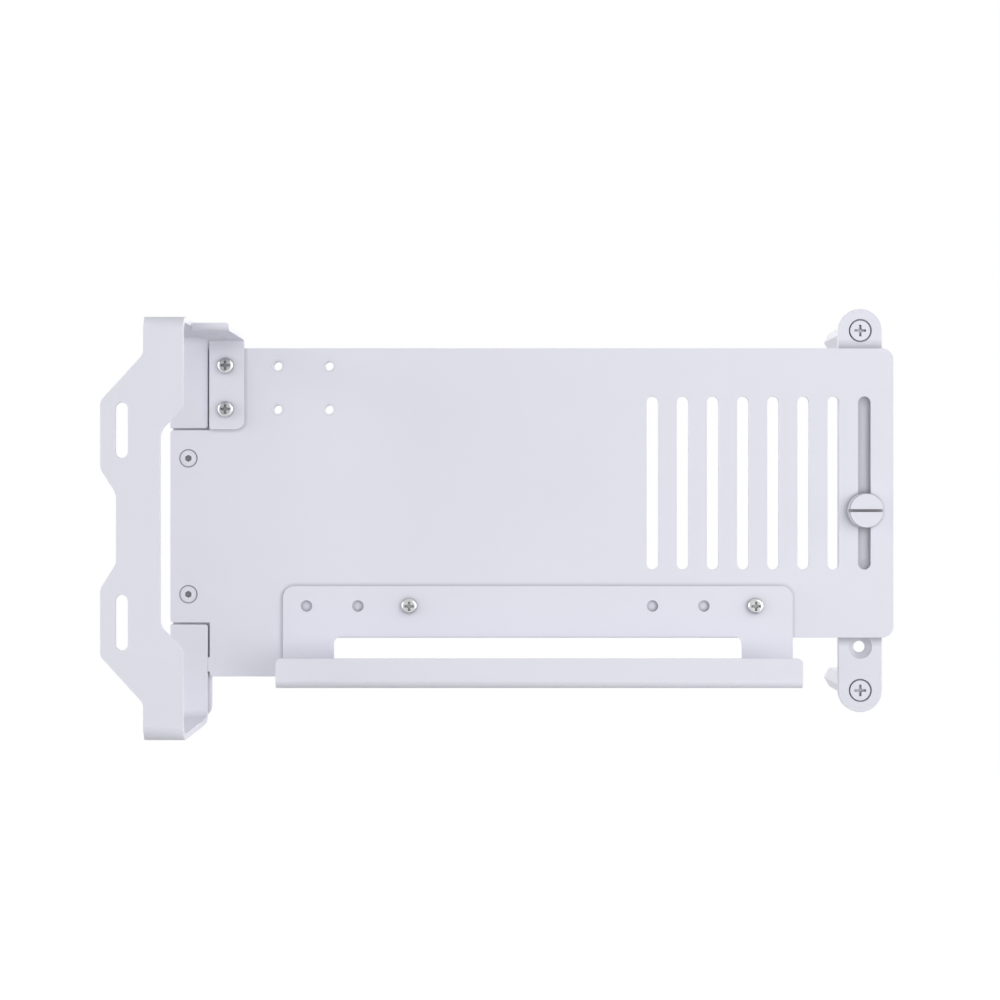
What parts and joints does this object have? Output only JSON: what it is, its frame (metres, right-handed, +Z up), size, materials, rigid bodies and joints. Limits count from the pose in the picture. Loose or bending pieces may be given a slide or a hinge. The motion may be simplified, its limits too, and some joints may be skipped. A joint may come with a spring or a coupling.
{
  "type": "vertical graphics card mount",
  "caption": "Folded sheet-steel mount that holds a graphics card upright in a computer case, with slotted ears, a riser tray and a sliding support bar on threaded posts.",
  "frame": {"origin": "midway between the two ear slots, on the rear face of the ears, which seats on the expansion-slot ledge of the case", "axes": "+X from the ears along the plate to the support bar, +Y from the viewer towards the mainboard, +Z up"},
  "size_m": [0.2623, 0.122, 0.1427],
  "materials": {
    "coat": "fine satin powder coat, pale lavender white",
    "plated": "bright nickel plate"
  },
  "bodies": {
    "bracket": {"ear_bracket": "coat", "backing_plate": "coat", "main_plate": "coat", "card_tab_bracket": "coat", "riser_tray": "coat", "upper_tab_screw": "plated", "lower_tab_screw": "plated", "left_tray_screw": "plated", "right_tray_screw": "plated", "upper_plate_screw": "coat", "lower_plate_screw": "coat", "tab_nut_1": "coat", "tab_nut_2": "coat", "tab_nut_3": "coat", "tab_nut_4": "coat", "tab_nut_5": "coat", "tab_nut_6": "coat", "left_tray_nut": "coat", "right_tray_nut": "coat", "upper_plate_nut": "coat", "lower_plate_nut": "coat"},
    "support": {"support_bar": "coat", "upper_post": "coat", "lower_post": "coat", "upper_bar_screw": "plated", "lower_bar_screw": "plated"},
    "thumb_screw": {"thumb_screw": "coat"}
  },
  "joints": [
    {"name": "bar_slide", "type": "slide", "parent": "bracket", "child": "support", "axis": [0, 0, 1], "range_m": [-0.018, 0.037]},
    {"name": "thumb_screw_turn", "type": "hinge", "parent": "support", "child": "thumb_screw", "pos_m": [0.2455, 0.057, 0.00475], "axis": [0, 1, 0], "continuous": true}
  ]
}
